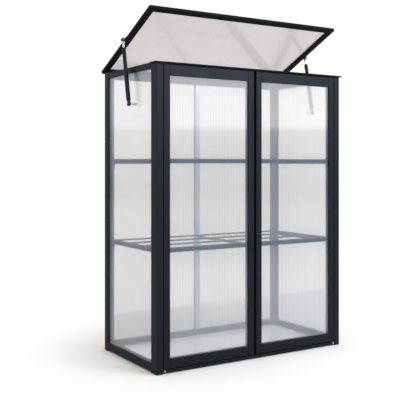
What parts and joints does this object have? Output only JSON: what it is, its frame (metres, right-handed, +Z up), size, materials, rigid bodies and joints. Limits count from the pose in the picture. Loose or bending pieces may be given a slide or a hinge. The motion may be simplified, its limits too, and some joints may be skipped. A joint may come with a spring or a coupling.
{
  "type": "mini greenhouse",
  "caption": "Free-standing mini greenhouse: slotted aluminium frame, translucent twin-wall panels, pivoted front doors, slatted shelves and a rear-hinged lid held open by gas struts.",
  "frame": {"origin": "on the ground, under the middle of the frame's footprint", "axes": "+X to the right seen from the front, -Y towards the front with the doors, +Z up"},
  "size_m": [0.803, 0.4109, 1.1678],
  "materials": {
    "dark_aluminium": "satin powder coat, anthracite",
    "twin_wall": "translucent twin-wall sheet, fluted",
    "black_nylon": "moulded, matt",
    "zinc_steel": "zinc plated",
    "ferrite": "sintered, matt",
    "black_steel": "black paint, satin",
    "strut_rod": "hard chrome, polished"
  },
  "bodies": {
    "frame": {"corner_brackets": "dark_aluminium", "door_magnets": "ferrite", "door_pivot_pins": "zinc_steel", "drip_strip": "dark_aluminium", "floor_panel": "twin_wall", "front_header": "dark_aluminium", "front_left_post": "dark_aluminium", "front_right_post": "dark_aluminium", "front_sill": "dark_aluminium", "left_base_rail": "dark_aluminium", "left_side_panel": "twin_wall", "left_top_rail": "dark_aluminium", "middle_shelf_cross_bar": "dark_aluminium", "middle_shelf_front_bar": "dark_aluminium", "middle_shelf_left_angle": "dark_aluminium", "middle_shelf_right_angle": "dark_aluminium", "middle_shelf_slats": "dark_aluminium", "post_caps": "black_nylon", "rear_base_rail": "dark_aluminium", "rear_left_panel": "twin_wall", "rear_left_post": "dark_aluminium", "rear_mullion": "dark_aluminium", "rear_right_panel": "twin_wall", "rear_right_post": "dark_aluminium", "rear_top_rail": "dark_aluminium", "right_base_rail": "dark_aluminium", "right_side_panel": "twin_wall", "right_top_rail": "dark_aluminium", "strut_panel_studs": "zinc_steel", "upper_shelf_cross_bar": "dark_aluminium", "upper_shelf_front_bar": "dark_aluminium", "upper_shelf_left_angle": "dark_aluminium", "upper_shelf_right_angle": "dark_aluminium", "upper_shelf_slats": "dark_aluminium"},
    "left_door": {"left_door_bottom_rail": "dark_aluminium", "left_door_bushes": "black_nylon", "left_door_hinge_stile": "dark_aluminium", "left_door_meeting_stile": "dark_aluminium", "left_door_panel": "twin_wall", "left_door_strike": "zinc_steel", "left_door_top_rail": "dark_aluminium"},
    "right_door": {"right_door_bottom_rail": "dark_aluminium", "right_door_bushes": "black_nylon", "right_door_hinge_stile": "dark_aluminium", "right_door_meeting_stile": "dark_aluminium", "right_door_panel": "twin_wall", "right_door_strike": "zinc_steel", "right_door_top_rail": "dark_aluminium"},
    "lid": {"lid_front_rail": "dark_aluminium", "lid_left_rail": "dark_aluminium", "lid_panel": "twin_wall", "lid_rear_rail": "dark_aluminium", "lid_right_rail": "dark_aluminium", "lid_strut_studs": "zinc_steel"},
    "left_cylinder": {"left_strut_cylinder": "black_steel"},
    "right_cylinder": {"right_strut_cylinder": "black_steel"},
    "left_rod": {"left_strut_rod": "strut_rod"},
    "right_rod": {"right_strut_rod": "strut_rod"}
  },
  "joints": [
    {"name": "lid_hinge", "type": "hinge", "parent": "frame", "child": "lid", "pos_m": [0, 0.201, 0.988], "axis": [-1, 0, 0], "range_deg": [-25, 0], "stiffness_Nm_per_rad": 4, "springref_deg": 57.3},
    {"name": "left_door_pivot", "type": "hinge", "parent": "frame", "child": "left_door", "pos_m": [-0.345, -0.189, 0], "axis": [0, 0, -1], "range_deg": [0, 110]},
    {"name": "right_door_pivot", "type": "hinge", "parent": "frame", "child": "right_door", "pos_m": [0.345, -0.189, 0], "axis": [0, 0, 1], "range_deg": [0, 110]},
    {"name": "left_cylinder_swing", "type": "hinge", "parent": "frame", "child": "left_cylinder", "pos_m": [-0.394, -0.028, 0.862], "axis": [-1, 0, 0], "range_deg": [-3, 0]},
    {"name": "left_rod_swing", "type": "hinge", "parent": "lid", "child": "left_rod", "pos_m": [-0.394, 0.01684, 1.0805], "axis": [-1, 0, 0], "range_deg": [0, 22.5]},
    {"name": "right_cylinder_swing", "type": "hinge", "parent": "frame", "child": "right_cylinder", "pos_m": [0.394, -0.028, 0.862], "axis": [-1, 0, 0], "range_deg": [-3, 0]},
    {"name": "right_rod_swing", "type": "hinge", "parent": "lid", "child": "right_rod", "pos_m": [0.394, 0.01684, 1.0805], "axis": [-1, 0, 0], "range_deg": [0, 22.5]}
  ],
  "couplings": [
    {"joint": "left_cylinder_swing", "follows": "lid_hinge", "ratio": 0.1128},
    {"joint": "left_rod_swing", "follows": "lid_hinge", "ratio": -0.8872},
    {"joint": "right_cylinder_swing", "follows": "lid_hinge", "ratio": 0.1128},
    {"joint": "right_rod_swing", "follows": "lid_hinge", "ratio": -0.8872}
  ]
}
